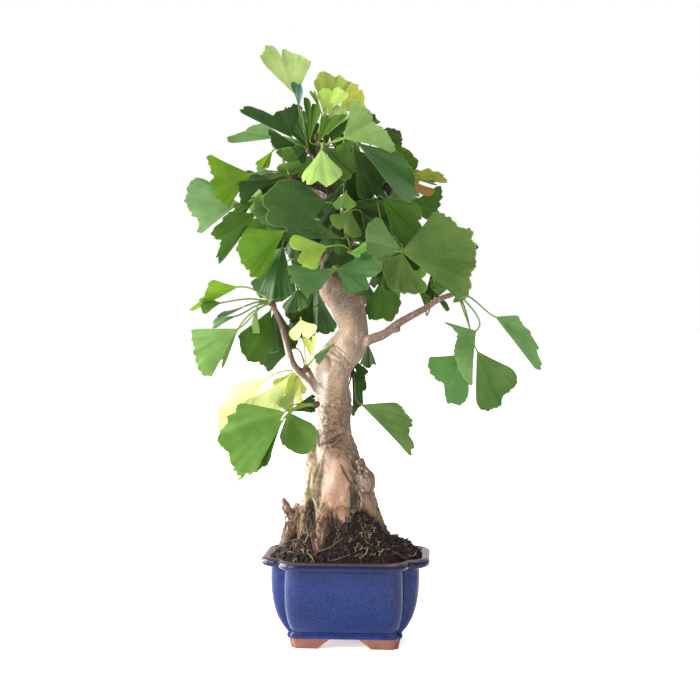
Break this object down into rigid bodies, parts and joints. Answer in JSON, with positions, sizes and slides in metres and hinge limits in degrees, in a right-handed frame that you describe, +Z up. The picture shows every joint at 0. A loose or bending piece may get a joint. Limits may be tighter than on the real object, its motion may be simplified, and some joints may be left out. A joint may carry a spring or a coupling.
{
  "type": "ginkgo bonsai in a pot",
  "caption": "Bonsai ginkgo with a thick buttressed trunk and sprays of fan-shaped leaves, planted in a low glazed pot with lobed sides and corner feet.",
  "frame": {"origin": "middle of the bounding box in X and Y, on the surface the pot stands on; the pot's own axis is at X -0.0180, Y 0.0015", "axes": "+Z up the tree; -Y is the front, from which the tree is meant to be seen, and +X is to the right of it"},
  "size_m": [0.3498, 0.1982, 0.5969],
  "materials": {
    "glaze": "gloss",
    "netting": "matte",
    "soil": "matte",
    "bark": "matte",
    "green_leaf": "satin",
    "deep_leaf": "satin",
    "bright_leaf": "satin",
    "young_leaf": "satin",
    "amber_leaf": "satin",
    "pale_leaf": "satin"
  },
  "bodies": {
    "root": {"apex_spray": "green_leaf", "autumn_spray": "amber_leaf", "back_left_spray": "green_leaf", "back_low_left_spray": "green_leaf", "back_low_right_spray": "green_leaf", "back_middle_spray": "green_leaf", "back_right_spray": "green_leaf", "back_top_spray": "green_leaf", "behind_spray": "green_leaf", "centre_spray": "green_leaf", "crest_spray": "young_leaf", "drain_screen_left": "netting", "drain_screen_right": "netting", "far_left_spray": "green_leaf", "heart_spray": "green_leaf", "hollow_spray": "green_leaf", "left_mid_spray": "green_leaf", "left_tip_spray": "green_leaf", "low_centre_spray": "deep_leaf", "lower_left_spray": "bright_leaf", "mid_left_spray": "green_leaf", "mid_right_spray": "green_leaf", "pot": "glaze", "right_back_spray": "green_leaf", "right_tip_spray": "green_leaf", "shoulder_spray": "green_leaf", "soil": "soil", "top_spray": "green_leaf", "trunk": "bark", "under_crown_spray": "green_leaf", "upper_left_spray": "green_leaf", "upper_right_spray": "deep_leaf", "yellow_spray": "pale_leaf"}
  },
  "joints": []
}
